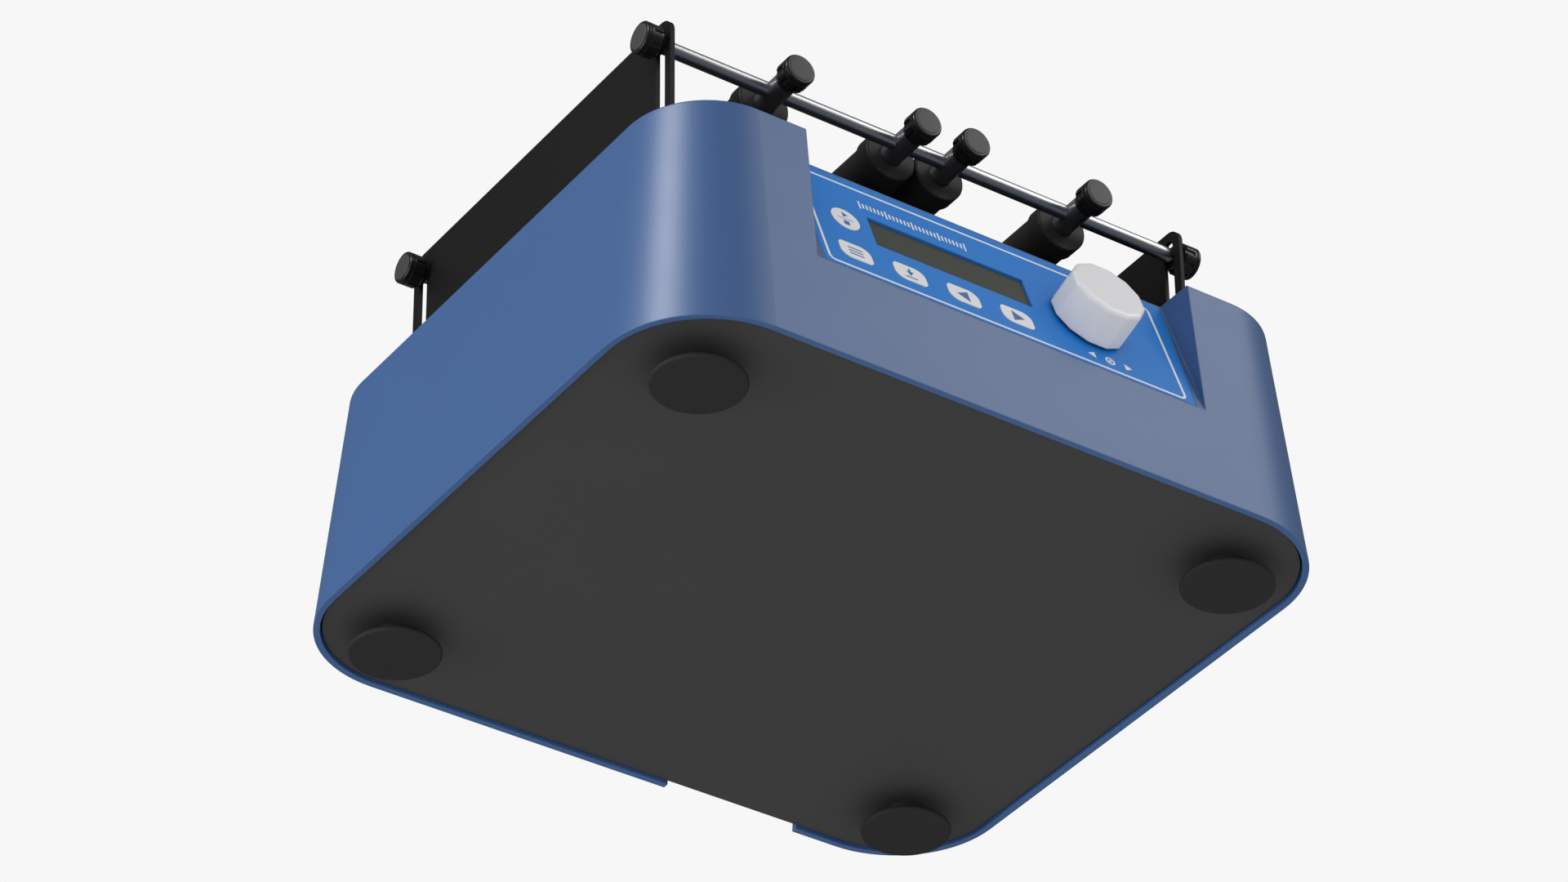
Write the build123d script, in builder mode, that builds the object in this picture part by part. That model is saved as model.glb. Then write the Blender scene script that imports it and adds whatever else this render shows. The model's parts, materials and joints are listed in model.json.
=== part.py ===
from build123d import *
import os
from math import atan2, cos, degrees, hypot, radians, sin

# Orbital shaker with a clamp rack for flasks. Millimetres, +Z up, origin on the bench under the
# middle of the whole machine, control panel towards -Y.

# Housing
housing_width = 360.0
housing_depth = 330.0
housing_height = 123.5
housing_corner = 52.5
housing_draft = 12.2
wall = 3.0
top_wall = 3.5
top_edge_round = 1.5
post_radius = 7.0

# Recess that holds the control panel
recess_width = 206.0
recess_base = 50.0
recess_setback = 20.4

# Rear cut-out and connector panel
outlet_width = 72.0
outlet_height = 44.0
outlet_corner = 4.0
outlet_x = 67.0
rear_panel_width = 88.0
rear_panel_height = 54.0
rear_panel_setback = 9.0
rear_panel_lip = 14.0
sheet = 2.0

# Base plate and feet
ground_gap = 10.0
base_recess = 1.5
base_plate_thickness = 2.0
base_plate_gap = 1.0
foot_inset_x = 40.8
foot_inset_y = 41.5
foot_pad_radius = 21.3
foot_pad_thickness = 2.6
foot_neck_radius = 9.5
foot_edge_round = 1.2
stud_radius = 2.5
stud_depth = 18.0

# Control panel, with places measured up the slope from the recess's lower edge and across from its
# left side
panel_thickness = 1.0
panel_inset_top = 0.8
panel_inset_bottom = 5.0
panel_margin = 1.0
display_width = 82.8
display_height = 21.1
display_from_left = 80.0
display_up = 41.1
window_thickness = 2.0
window_margin = 1.5
start_key_radius = 7.4
start_key_from_left = 24.9
start_key_up = 41.8
key_width = 16.6
key_height = 11.6
key_round_large = 5.4
key_round_small = 2.6
key_row_from_left = 23.8
key_pitch = 28.3
key_up = 16.1
key_travel = 0.5
key_proud = 0.3
key_stem_radius = 2.2
board_thickness = 1.6
board_inset = 11.0
board_height = 62.0
board_depth = 10.0
board_post_radius = 3.2
board_post_inset_x = 6.0
board_post_inset_up = 5.0
switch_size = 6.2
switch_height = 6.0
encoder_size = 14.0
bushing_radius = 4.5
encoder_shaft_radius = 3.0
plunger_gap = 0.3
plunger_height = 1.2

# Dial
dial_from_left = 151.0
dial_up = 35.0
dial_radius = 18.3
dial_top = 21.2
dial_sides = 12
dial_push = 1.0
dial_lift = 0.4
dial_edge_round = 2.0
dial_facet_round = 4.0
dial_skirt_depth = 5.0
dial_crown = 6.0

# Drive
orbit = 5.0
shaft_radius = 6.0
drive_pin_radius = 4.0
idler_shaft_radius = 5.0
idler_pin_radius = 3.0
idler_x = 85.0
idler_y = 65.0
crank_disc_thickness = 2.0
crank_disc_lip = 2.5
crank_lift = 0.8
cartridge_wall = 8.0
cartridge_length = 34.0
cartridge_flange = 6.0
cartridge_flange_thickness = 3.0
deck_width = 236.0
deck_depth = 190.0
deck_height = 88.0
deck_sheet = 3.0
deck_lip = 13.0
pulley_radius = 44.0
pulley_height = 14.0
pulley_level = 62.0
pulley_flange = 1.5
pulley_web = 4.0
pulley_rim = 4.0
motor_pulley_radius = 11.0
motor_distance = 78.0
motor_radius = 33.0
motor_height = 34.0
motor_edge_round = 3.0
motor_shaft_radius = 4.0
belt_thickness = 2.0
belt_height = 9.0
weight_radius = 42.0
weight_height = 11.0

# Platform and carrier
platform_lift = 4.5
platform_thickness = 5.0
platform_width = 270.0
platform_depth = 206.0
platform_corner = 8.0
platform_bearing_radius = 9.0
carrier_half_width = 139.0
carrier_sheet = 2.0
carrier_bend = 3.0
carrier_top = 202.7
slot_width = 6.8
slot_strip = 5.0
slot_run = 42.0
mat_width = 246.0
mat_depth = 186.0
mat_thickness = 2.0
mat_corner = 6.0
tray_screw_x = 130.0
tray_screw_y = 60.0
tray_screw_radius = 2.0
tray_screw_head = 3.8
tray_screw_head_height = 2.4

# Clamp rack
rod_level = 190.3
rod_half_spacing = 101.0
rod_radius = 3.5
rod_stud_radius = 3.0
outer_left_roller_x = -80.2
inner_left_roller_x = -11.4
inner_right_roller_x = 15.5
outer_right_roller_x = 84.2
barrel_radius = 5.6
barrel_nose = 9.2
barrel_tail = 14.0
bar_radius = 4.0
sleeve_radius = 12.0
sleeve_head_radius = 13.2
sleeve_head_length = 9.5
sleeve_face = 8.5
sleeve_edge_round = 1.0

# Clamp knobs
knob_radius = 7.8
knob_length = 11.4
knob_neck_radius = 5.6
knob_neck_length = 2.2
knob_flutes = 8
knob_flute_width = 2.0
knob_flute_depth = 0.8
knob_ring_depth = 0.6
knob_ring_width = 0.7
knob_cap_length = 2.5
knob_edge_round = 1.1
knob_stud_radius = 2.5

# Mains inlet and power rocker
socket_drop = 6.0
inlet_x = 52.0
inlet_body = (27.0, 20.0)
inlet_flange = (31.0, 24.0)
inlet_flange_thickness = 2.0
inlet_cavity = (24.0, 15.8)
inlet_cavity_depth = 17.0
inlet_cavity_chamfer = 4.0
inlet_depth = 24.0
inlet_pin = (2.0, 4.0, 14.0)
inlet_pin_spacing = 14.0
inlet_earth_rise = 4.0
rocker_x = 88.0
rocker_frame = (15.0, 21.0)
rocker_body = (13.0, 19.0)
rocker_frame_thickness = 1.5
rocker_depth = 16.0
rocker_size = (10.4, 15.2)
rocker_tilt = 8.0
rocker_axis_depth = 5.0
rocker_pin_radius = 1.4
rocker_root = 2.0
rocker_lip = 2.0
rocker_rim = 0.2
rocker_dish = 1.4
rocker_well_end = 1.0

# Clearances
running_clearance = 0.05
sliding_clearance = 0.1
part_clearance = 0.2
seat_gap = 0.1
top_hole_clearance = 0.5
cut_overrun = 1.0

# Levels above the bench
shell_bottom = ground_gap
shell_top = shell_bottom + housing_height
base_bottom = shell_bottom + base_recess
base_top = base_bottom + base_plate_thickness
deck_top = base_top + deck_height
crank_bottom = shell_top + crank_lift
crank_top = crank_bottom + crank_disc_thickness
platform_bottom = shell_top + platform_lift
platform_top = platform_bottom + platform_thickness
tray_floor_top = platform_top + carrier_sheet
rod_z = shell_bottom + rod_level
carrier_z = shell_bottom + carrier_top

# The control panel's slope, seen from the side
front_lean = housing_draft / housing_height
panel_foot_y = -housing_depth / 2 + front_lean * recess_base
panel_head_y = -housing_depth / 2 + housing_draft + recess_setback
panel_rise = housing_height - recess_base
panel_length = hypot(panel_head_y - panel_foot_y, panel_rise)
slope_y = (panel_head_y - panel_foot_y) / panel_length
slope_z = panel_rise / panel_length

# The dial reaches out past the housing's front edge, so the housing stands back by half of that reach
dial_reach_y = (
    panel_foot_y
    + slope_y * (dial_up - dial_radius + dial_edge_round)
    - slope_z * (dial_top - panel_thickness - dial_edge_round)
    - dial_edge_round
)
body_y = (-housing_depth / 2 - dial_reach_y) / 2
platform_y = body_y + orbit

# Places on the housing and on the panel
foot_x = housing_width / 2 - foot_inset_x
foot_y = housing_depth / 2 - foot_inset_y
recess_left = -recess_width / 2
display_x = recess_left + display_from_left
start_key_x = recess_left + start_key_from_left
key_row_x = recess_left + key_row_from_left
dial_x = recess_left + dial_from_left
board_width = recess_width - 2 * board_inset
board_post_x = board_width / 2 - board_post_inset_x
board_post_up = board_height / 2 - board_post_inset_up
roller_places = [outer_left_roller_x, inner_left_roller_x, inner_right_roller_x, outer_right_roller_x]

# The panel's back face, sunk into the slope by the sheet's thickness
panel_plane = Plane(
    origin=(
        0,
        body_y + panel_foot_y + slope_z * panel_thickness,
        shell_bottom + recess_base - slope_y * panel_thickness,
    ),
    x_dir=(1, 0, 0),
    z_dir=(0, -slope_z, slope_y),
)
draft_angle = degrees(atan2(housing_draft, housing_height))

foot_places = {
    "front_left": (-foot_x, -foot_y),
    "front_right": (foot_x, -foot_y),
    "rear_left": (-foot_x, foot_y),
    "rear_right": (foot_x, foot_y),
}
idler_places = [(-idler_x, -idler_y), (idler_x, -idler_y), (-idler_x, idler_y), (idler_x, idler_y)]
key_places = [(key_row_x + key_pitch * i, key_up) for i in range(4)]
board_post_places = [
    (x, display_up + up) for x in (-board_post_x, board_post_x) for up in (-board_post_up, board_post_up)
]


def level(z, x=0.0, y=0.0):
    """A horizontal plane at height z, placed from the middle of the housing."""
    return Plane(origin=(x, body_y + y, z))


def panel_level(height, x=0.0, up=0.0):
    """A plane parallel to the slope, raised by height above the control panel's back face."""
    return Plane(
        origin=panel_plane.from_local_coords((x, up, height)),
        x_dir=panel_plane.x_dir,
        z_dir=panel_plane.z_dir,
    )


def recess_wedge(thickness, margin):
    """The wedge in front of a face that lies a thickness behind the control panel's back face."""
    low = panel_plane.from_local_coords((0, -panel_length, -thickness))
    high = panel_plane.from_local_coords((0, 2 * panel_length, -thickness))
    front = body_y - housing_depth
    half = recess_width / 2 + margin
    with BuildPart() as wedge:
        with BuildSketch(Plane.YZ.offset(-half)):
            with BuildLine():
                Polyline((low.Y, low.Z), (high.Y, high.Z), (front, high.Z), (front, low.Z), close=True)
            make_face()
        extrude(amount=2 * half)
    return wedge.part


def housing_block(inset, height):
    """The leaning rounded block that the housing is made from."""
    with BuildPart() as block:
        with BuildSketch(level(shell_bottom)):
            RectangleRounded(housing_width - 2 * inset, housing_depth - 2 * inset, housing_corner - inset)
        extrude(amount=height, taper=draft_angle)
        if inset == 0:
            fillet(block.faces().sort_by(Axis.Z)[-1].edges(), top_edge_round)
    return block.part


def panel_outline(grow):
    """The control panel's outline, narrower at the bottom, grown all round."""
    half_low = recess_width / 2 - panel_inset_bottom + grow
    half_high = recess_width / 2 - panel_inset_top + grow
    low, high = panel_margin - grow, panel_length - panel_margin + grow
    with BuildSketch() as outline:
        with BuildLine():
            Polyline((-half_low, low), (half_low, low), (half_high, high), (-half_high, high), close=True)
        make_face()
    return outline.sketch


outer_wedge = recess_wedge(-panel_thickness, 0)
inner_wedge = recess_wedge(wall, wall)
outer_block = housing_block(0, housing_height)
inner_block = housing_block(wall, housing_height - top_wall) - inner_wedge

# Moulded housing: leaning walls and top in one piece, with the sloped recess, posts and openings
with BuildPart() as housing_shell:
    add(outer_block)
    add(outer_wedge, mode=Mode.SUBTRACT)
    add(inner_block, mode=Mode.SUBTRACT)
    with BuildSketch(level(base_top)):
        with Locations(*foot_places.values()):
            Circle(post_radius)
    extrude(amount=shell_top - top_wall / 2 - base_top)
    with BuildSketch(level(base_top)):
        with Locations(*foot_places.values()):
            Circle(stud_radius)
    extrude(amount=stud_depth + seat_gap, mode=Mode.SUBTRACT)
    with BuildSketch(panel_level(-board_depth)):
        with Locations(*board_post_places):
            Circle(board_post_radius)
    extrude(amount=board_depth - wall / 2)
    with BuildSketch(level(shell_top)):
        Circle(shaft_radius + top_hole_clearance)
        with Locations(*idler_places):
            Circle(idler_shaft_radius + top_hole_clearance)
    extrude(amount=-top_wall, mode=Mode.SUBTRACT)
    with BuildSketch(panel_level(0)):
        add(panel_outline(part_clearance))
    extrude(amount=panel_thickness + cut_overrun, mode=Mode.SUBTRACT)
    with BuildSketch(panel_level(0)):
        with Locations((display_x, display_up)):
            Rectangle(display_width + 2 * window_margin, display_height + 2 * window_margin)
        with Locations((start_key_x, start_key_up), *key_places):
            Circle(key_stem_radius + part_clearance)
        with Locations((dial_x, dial_up)):
            Circle(bushing_radius + part_clearance)
    extrude(amount=-wall - cut_overrun, mode=Mode.SUBTRACT)
    with BuildSketch(Plane.XZ.offset(-body_y - housing_depth / 2)):
        with Locations((outlet_x, shell_bottom)):
            RectangleRounded(outlet_width, 2 * outlet_height, outlet_corner)
    extrude(amount=3 * wall, mode=Mode.SUBTRACT)
housing_shell.part.label = "housing_shell"

with BuildPart() as base_plate:
    with BuildSketch(level(base_bottom)):
        plate_inset = wall + base_plate_gap
        RectangleRounded(
            housing_width - 2 * plate_inset, housing_depth - 2 * plate_inset, housing_corner - plate_inset
        )
        with Locations(*foot_places.values()):
            Circle(stud_radius, mode=Mode.SUBTRACT)
    extrude(amount=base_plate_thickness)
base_plate.part.label = "base_plate"

# Rubber feet on moulded-in studs
feet = {}
for name, (x, y) in foot_places.items():
    with BuildPart() as foot:
        with BuildSketch(level(0, x, y)):
            Circle(foot_pad_radius)
        extrude(amount=foot_pad_thickness)
        fillet(foot.edges(), foot_edge_round)
        with BuildSketch(level(foot_pad_thickness, x, y)):
            Circle(foot_neck_radius)
        extrude(amount=base_bottom - foot_pad_thickness)
        with BuildSketch(level(foot_pad_thickness, x, y)):
            Circle(stud_radius)
        extrude(amount=base_bottom - foot_pad_thickness, mode=Mode.SUBTRACT)
    foot.part.label = f"foot_{name}"
    feet[f"foot_{name}"] = foot.part

with BuildPart() as foot_studs:
    with BuildSketch(level(foot_pad_thickness)):
        with Locations(*foot_places.values()):
            Circle(stud_radius)
    extrude(amount=base_top + stud_depth - foot_pad_thickness)
foot_studs.part.label = "foot_studs"

# Control panel: a printed sheet set flush into the slope, with the keys and the display set into it
def key_outline(grow):
    """A key's outline, with two tight corners and two full ones, grown all round."""
    falling = Axis((0, 0, 0), (1, -1, 0))
    rising = Axis((0, 0, 0), (1, 1, 0))
    with BuildSketch() as outline:
        Rectangle(key_width + 2 * grow, key_height + 2 * grow)
        for diagonal, radius in ((falling, key_round_small), (rising, key_round_large)):
            corners = outline.vertices().sort_by(diagonal)
            fillet([corners[0], corners[-1]], radius + grow)
    return outline.sketch


key_hole = key_outline(part_clearance)
key_face = key_outline(0)

with BuildPart() as control_panel:
    with BuildSketch(panel_level(0)):
        add(panel_outline(0))
        with Locations((display_x, display_up)):
            Rectangle(display_width, display_height, mode=Mode.SUBTRACT)
        with Locations((start_key_x, start_key_up)):
            Circle(start_key_radius + part_clearance, mode=Mode.SUBTRACT)
        with Locations(*key_places):
            add(key_hole, mode=Mode.SUBTRACT)
        with Locations((dial_x, dial_up)):
            Circle(bushing_radius + part_clearance, mode=Mode.SUBTRACT)
    extrude(amount=panel_thickness)
control_panel.part.label = "control_panel"

with BuildPart() as display_window:
    with BuildSketch(panel_level(-window_thickness)):
        with Locations((display_x, display_up)):
            Rectangle(
                display_width + 2 * (window_margin - part_clearance),
                display_height + 2 * (window_margin - part_clearance),
            )
    extrude(amount=window_thickness)
display_window.part.label = "display_window"

# Keys travel until they rest on the pocket's floor
key_bottom = key_travel + seat_gap / 2
key_top = panel_thickness + key_proud
switch_top = switch_height - board_depth
key_stem_end = switch_top + key_travel + seat_gap

key_names = ["key_menu", "key_store", "key_left", "key_right"]
keys = {}
for name, place in zip(["key_run"] + key_names, [(start_key_x, start_key_up)] + key_places):
    with BuildPart() as key:
        with BuildSketch(panel_level(key_bottom, *place)):
            if name == "key_run":
                Circle(start_key_radius)
            else:
                add(key_face)
        extrude(amount=key_top - key_bottom)
        with BuildSketch(panel_level(key_stem_end, *place)):
            Circle(key_stem_radius)
        extrude(amount=key_bottom - key_stem_end)
    key.part.label = name
    keys[name] = key.part

# Circuit board on the shell's posts, with the display module, the switches and the encoder's body
plunger_bottom = -board_depth + dial_push + plunger_gap
encoder_top = -wall - part_clearance
with BuildPart() as control_board:
    with BuildSketch(panel_level(-board_depth)):
        with Locations((0, display_up)):
            Rectangle(board_width, board_height)
    extrude(amount=-board_thickness)
    with BuildSketch(panel_level(-board_depth)):
        with Locations((display_x, display_up)):
            Rectangle(display_width, display_height)
    extrude(amount=board_depth - window_thickness)
    with BuildSketch(panel_level(-board_depth)):
        with Locations((start_key_x, start_key_up), *key_places):
            Rectangle(switch_size, switch_size)
    extrude(amount=board_depth + switch_top)
    with BuildSketch(panel_level(-board_depth)):
        with Locations((dial_x, dial_up)):
            Rectangle(encoder_size, encoder_size)
    extrude(amount=board_depth + encoder_top)
    with BuildSketch(panel_level(encoder_top)):
        with Locations((dial_x, dial_up)):
            Circle(bushing_radius)
    extrude(amount=panel_thickness - encoder_top)
    with BuildSketch(panel_level(-board_depth)):
        with Locations((dial_x, dial_up)):
            Circle(encoder_shaft_radius + running_clearance)
    extrude(amount=board_depth + panel_thickness, mode=Mode.SUBTRACT)
control_board.part.label = "control_board"

with BuildPart() as encoder_plunger:
    with BuildSketch(panel_level(plunger_bottom, dial_x, dial_up)):
        Circle(encoder_shaft_radius)
    extrude(amount=plunger_height)
encoder_plunger.part.label = "encoder_plunger"

dial_bottom = panel_thickness + dial_push + part_clearance + dial_lift
shaft_end = dial_top - dial_crown
with BuildPart() as encoder_shaft:
    with BuildSketch(panel_level(plunger_bottom + plunger_height, dial_x, dial_up)):
        Circle(encoder_shaft_radius)
    extrude(amount=shaft_end - plunger_bottom - plunger_height)
encoder_shaft.part.label = "encoder_shaft"

# Faceted dial, hollow under its skirt, with a socket for the shaft
dial_axis = Axis(panel_plane.origin, panel_plane.z_dir)
with BuildPart() as dial_knob:
    with BuildSketch(panel_level(dial_bottom, dial_x, dial_up)):
        RegularPolygon(dial_radius, dial_sides, major_radius=False, rotation=180 / dial_sides)
    extrude(amount=dial_top - dial_bottom)
    fillet(dial_knob.edges().filter_by(dial_axis), dial_facet_round)
    fillet(dial_knob.faces().sort_by(dial_axis)[-1].edges(), dial_edge_round)
    with BuildSketch(panel_level(dial_bottom, dial_x, dial_up)):
        Circle(dial_radius - wall)
        Circle(bushing_radius + wall, mode=Mode.SUBTRACT)
    extrude(amount=dial_skirt_depth, mode=Mode.SUBTRACT)
    with BuildSketch(panel_level(dial_bottom, dial_x, dial_up)):
        Circle(encoder_shaft_radius)
    extrude(amount=shaft_end - dial_bottom, mode=Mode.SUBTRACT)
dial_knob.part.label = "dial_knob"

# Rear connector panel: a folded sheet that stands on the base plate behind the cut-out
rear_face_y = housing_depth / 2 - rear_panel_setback
socket_z = base_top + rear_panel_height / 2 - socket_drop
with BuildPart() as rear_panel:
    with BuildSketch(Plane.YZ.offset(outlet_x - rear_panel_width / 2)):
        with BuildLine():
            Polyline(
                (body_y + rear_face_y - rear_panel_lip, base_top),
                (body_y + rear_face_y, base_top),
                (body_y + rear_face_y, base_top + rear_panel_height),
                (body_y + rear_face_y - sheet, base_top + rear_panel_height),
                (body_y + rear_face_y - sheet, base_top + sheet),
                (body_y + rear_face_y - rear_panel_lip, base_top + sheet),
                close=True,
            )
        make_face()
    extrude(amount=rear_panel_width)
    with BuildSketch(Plane.XZ.offset(-body_y - rear_face_y)):
        with Locations((inlet_x, socket_z)):
            Rectangle(*inlet_body)
        with Locations((rocker_x, socket_z)):
            Rectangle(*rocker_body)
    extrude(amount=sheet, mode=Mode.SUBTRACT)
rear_panel.part.label = "rear_panel"


def rear_plane(depth):
    """A plane that faces the back of the machine, sunk by depth behind the connector panel's face."""
    return Plane(origin=(0, body_y + rear_face_y - depth, socket_z), x_dir=(-1, 0, 0), z_dir=(0, 1, 0))


# Mains inlet: flanged body with a keyed cavity and three flat pins
with BuildPart() as mains_inlet:
    with BuildSketch(rear_plane(0)):
        with Locations((-inlet_x, 0)):
            Rectangle(*inlet_flange)
    extrude(amount=inlet_flange_thickness)
    with BuildSketch(rear_plane(0)):
        with Locations((-inlet_x, 0)):
            Rectangle(*inlet_body)
    extrude(amount=-inlet_depth)
    with BuildSketch(rear_plane(-inlet_flange_thickness)) as cavity:
        with Locations((-inlet_x, 0)):
            Rectangle(*inlet_cavity)
        chamfer(cavity.vertices().group_by(Axis.Y)[-1], inlet_cavity_chamfer)
    extrude(amount=-inlet_cavity_depth, mode=Mode.SUBTRACT)
    with BuildSketch(rear_plane(inlet_cavity_depth - inlet_flange_thickness)):
        with Locations(
            (-inlet_x - inlet_pin_spacing / 2, -inlet_earth_rise / 2),
            (-inlet_x, inlet_earth_rise / 2),
            (-inlet_x + inlet_pin_spacing / 2, -inlet_earth_rise / 2),
        ):
            Rectangle(inlet_pin[0], inlet_pin[1])
    extrude(amount=inlet_pin[2])
mains_inlet.part.label = "mains_inlet"

# Power switch: a frame with a well, and a rocker on two short pins
rocker_axis_y = body_y + rear_face_y - rocker_axis_depth
rocker_well = (rocker_size[0] + 2 * part_clearance, rocker_body[1] - 2 * rocker_well_end)
with BuildPart() as switch_frame:
    with BuildSketch(rear_plane(0)):
        with Locations((-rocker_x, 0)):
            Rectangle(*rocker_frame)
    extrude(amount=rocker_frame_thickness)
    with BuildSketch(rear_plane(0)):
        with Locations((-rocker_x, 0)):
            Rectangle(*rocker_body)
    extrude(amount=-rocker_depth)
    with BuildSketch(rear_plane(-rocker_frame_thickness)):
        with Locations((-rocker_x, 0)):
            Rectangle(*rocker_well)
    extrude(amount=-(rocker_frame_thickness + rocker_depth - sheet), mode=Mode.SUBTRACT)
    with BuildSketch(Plane.YZ.offset(rocker_x - rocker_body[0] / 2 + part_clearance)):
        with Locations((rocker_axis_y, socket_z)):
            Circle(rocker_pin_radius + running_clearance)
    extrude(amount=rocker_body[0] - 2 * part_clearance, mode=Mode.SUBTRACT)
switch_frame.part.label = "switch_frame"

tilted_plane = Plane(
    origin=(rocker_x - rocker_size[0] / 2, rocker_axis_y, socket_z),
    x_dir=(0, cos(radians(rocker_tilt)), sin(radians(rocker_tilt))),
    z_dir=(1, 0, 0),
)
with BuildPart() as power_rocker:
    crest = rocker_axis_depth + rocker_frame_thickness
    with BuildSketch(tilted_plane):
        with BuildLine():
            Polyline(
                (-rocker_root, -rocker_size[1] / 4),
                (crest - rocker_lip, -rocker_size[1] / 2),
                (crest - rocker_rim, -rocker_size[1] / 2),
                (crest - rocker_dish, 0),
                (crest - rocker_rim, rocker_size[1] / 2),
                (crest - rocker_lip, rocker_size[1] / 2),
                (-rocker_root, rocker_size[1] / 4),
                close=True,
            )
        make_face()
    extrude(amount=rocker_size[0])
    with BuildSketch(Plane.YZ.offset(rocker_x - rocker_body[0] / 2 + 2 * part_clearance)):
        with Locations((rocker_axis_y, socket_z)):
            Circle(rocker_pin_radius)
    extrude(amount=rocker_body[0] - 4 * part_clearance)
power_rocker.part.label = "power_rocker"

# Folded chassis deck that carries the bearings, standing on the base plate
with BuildPart() as chassis_deck:
    with BuildSketch(Plane.XZ.offset(-body_y - deck_depth / 2)):
        half = deck_width / 2
        with BuildLine():
            Polyline(
                (-half - deck_lip, base_top),
                (-half, base_top),
                (-half, deck_top - deck_sheet),
                (half, deck_top - deck_sheet),
                (half, base_top),
                (half + deck_lip, base_top),
                (half + deck_lip, base_top + deck_sheet),
                (half + deck_sheet, base_top + deck_sheet),
                (half + deck_sheet, deck_top),
                (-half - deck_sheet, deck_top),
                (-half - deck_sheet, base_top + deck_sheet),
                (-half - deck_lip, base_top + deck_sheet),
                close=True,
            )
        make_face()
    extrude(amount=deck_depth)
    with BuildSketch(level(deck_top)):
        Circle(shaft_radius + cartridge_wall)
        with Locations(*idler_places):
            Circle(idler_shaft_radius + cartridge_wall)
    extrude(amount=-deck_sheet, mode=Mode.SUBTRACT)
chassis_deck.part.label = "chassis_deck"

# Flanged bearing cartridges: one for the drive shaft, four for the idler cranks
cartridge_bottom = deck_top - cartridge_length / 3
with BuildPart() as shaft_bearings:
    for place, radius in [((0, 0), shaft_radius)] + [(p, idler_shaft_radius) for p in idler_places]:
        with BuildSketch(level(cartridge_bottom, *place)):
            Circle(radius + cartridge_wall)
        extrude(amount=cartridge_length)
        with BuildSketch(level(deck_top, *place)):
            Circle(radius + cartridge_wall + cartridge_flange)
        extrude(amount=cartridge_flange_thickness)
        with BuildSketch(level(cartridge_bottom, *place)):
            Circle(radius + running_clearance)
        extrude(amount=cartridge_length, mode=Mode.SUBTRACT)
shaft_bearings.part.label = "shaft_bearings"


def crank(place, shaft, pin, low):
    """A shaft with a disc above the housing's top and a pin set off towards the back by the orbit."""
    with BuildPart() as turned:
        with BuildSketch(level(low, *place)):
            Circle(shaft)
        extrude(amount=crank_bottom - low)
        with BuildSketch(level(crank_bottom, *place)):
            Circle(orbit + pin + crank_disc_lip)
        extrude(amount=crank_disc_thickness)
        with BuildSketch(level(crank_top, place[0], place[1] + orbit)):
            Circle(pin)
        extrude(amount=platform_top - crank_top)
    return turned.part


eccentric_shaft = crank((0, 0), shaft_radius, drive_pin_radius, pulley_level)
eccentric_shaft.label = "eccentric_shaft"

idler_cranks = {}
for number, place in enumerate(idler_places, 1):
    idler = crank(place, idler_shaft_radius, idler_pin_radius, cartridge_bottom)
    idler.label = f"idler_crank_{number}"
    idler_cranks[idler.label] = idler

# Drive pulley, dished on both faces, with the counterweight opposite the eccentric pin
with BuildPart() as drive_pulley:
    with BuildSketch(level(pulley_level)):
        Circle(pulley_radius)
    extrude(amount=pulley_height)
    web_low = pulley_level + (pulley_height - pulley_web) / 2
    for start, amount in ((web_low + pulley_web, pulley_height), (web_low, -pulley_height)):
        with BuildSketch(level(start)):
            Circle(pulley_radius - pulley_rim)
            Circle(shaft_radius + cartridge_wall / 2, mode=Mode.SUBTRACT)
        extrude(amount=amount, mode=Mode.SUBTRACT)
    with BuildSketch(level(web_low - weight_height)):
        Circle(weight_radius - pulley_rim)
        with Locations((0, weight_radius)):
            Rectangle(2 * weight_radius, 2 * weight_radius, mode=Mode.SUBTRACT)
    extrude(amount=weight_height)
    with BuildSketch(level(pulley_level - weight_height)):
        Circle(shaft_radius)
    extrude(amount=2 * pulley_height + weight_height, mode=Mode.SUBTRACT)
drive_pulley.part.label = "drive_pulley"

# Motor on the base plate, and its small flanged pulley with the rotor shaft
motor_top = base_top + motor_height
with BuildPart() as motor_can:
    with BuildSketch(level(base_top, -motor_distance)):
        Circle(motor_radius)
    extrude(amount=motor_height)
    fillet(motor_can.faces().sort_by(Axis.Z)[-1].edges(), motor_edge_round)
    with BuildSketch(level(motor_top, -motor_distance)):
        Circle(motor_shaft_radius + running_clearance)
    extrude(amount=-motor_height / 2, mode=Mode.SUBTRACT)
motor_can.part.label = "motor_can"

belt_low = pulley_level + (pulley_height - belt_height) / 2
with BuildPart() as motor_pulley:
    with BuildSketch(level(motor_top - motor_height / 3, -motor_distance)):
        Circle(motor_shaft_radius)
    extrude(amount=pulley_level + pulley_height - motor_top + motor_height / 3)
    with BuildSketch(level(pulley_level, -motor_distance)):
        Circle(motor_pulley_radius)
    extrude(amount=pulley_height)
    for start in (pulley_level, pulley_level + pulley_height - pulley_flange):
        with BuildSketch(level(start, -motor_distance)):
            Circle(motor_pulley_radius + belt_thickness)
        extrude(amount=pulley_flange)
motor_pulley.part.label = "motor_pulley"

with BuildPart() as drive_belt:
    for grow, mode in ((belt_thickness, Mode.ADD), (0, Mode.SUBTRACT)):
        with BuildSketch(level(belt_low)) as loop:
            Circle(pulley_radius + part_clearance + grow)
            with Locations((-motor_distance, 0)):
                Circle(motor_pulley_radius + part_clearance + grow)
            make_hull()
        extrude(amount=belt_height, mode=mode)
drive_belt.part.label = "drive_belt"

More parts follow.
